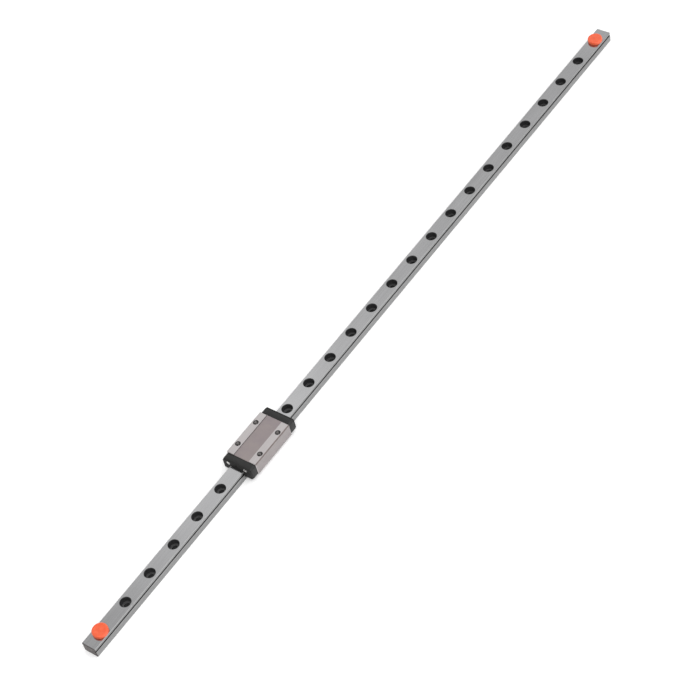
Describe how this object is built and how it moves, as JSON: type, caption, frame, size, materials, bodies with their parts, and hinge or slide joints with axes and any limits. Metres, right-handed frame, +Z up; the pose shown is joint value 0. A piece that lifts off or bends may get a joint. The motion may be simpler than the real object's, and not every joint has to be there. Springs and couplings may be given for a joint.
{
  "type": "miniature profile rail linear guide",
  "caption": "Miniature linear guide: a ground rail with counterbored screw holes and a long recirculating-ball carriage that slides along it between push-in end stops.",
  "frame": {"origin": "centre of the rail's underside, midway between its ends", "axes": "+X along the rail, from the end near the carriage towards the far end; +Y across the rail; +Z up, from the mounting face towards the carriage's top"},
  "size_m": [0.5, 0.02, 0.01],
  "materials": {
    "ground_steel": "ground stainless steel",
    "block_steel": "ground stainless steel, with a matt sunk panel",
    "bright_steel": "bright stainless screw",
    "bearing_steel": "polished bearing steel",
    "black_plastic": "fine-grained moulding",
    "black_rubber": "matt nitrile rubber",
    "orange_plastic": "smooth moulding"
  },
  "bodies": {
    "rail": {"rail": "ground_steel", "stop_plug_left": "orange_plastic", "stop_plug_right": "orange_plastic"},
    "carriage": {"carriage_block": "block_steel", "end_cap_left": "black_plastic", "end_cap_right": "black_plastic", "end_seal_left": "black_rubber", "end_seal_right": "black_rubber", "cap_screw_left_front": "bright_steel", "cap_screw_left_back": "bright_steel", "cap_screw_right_front": "bright_steel", "cap_screw_right_back": "bright_steel", "ball_row_front": "bearing_steel", "ball_row_back": "bearing_steel", "retaining_wire_front": "bearing_steel", "retaining_wire_back": "bearing_steel"}
  },
  "joints": [
    {"name": "carriage_slide", "type": "slide", "parent": "rail", "child": "carriage", "axis": [1, 0, 0], "range_m": [-0.1101, 0.3209]}
  ]
}
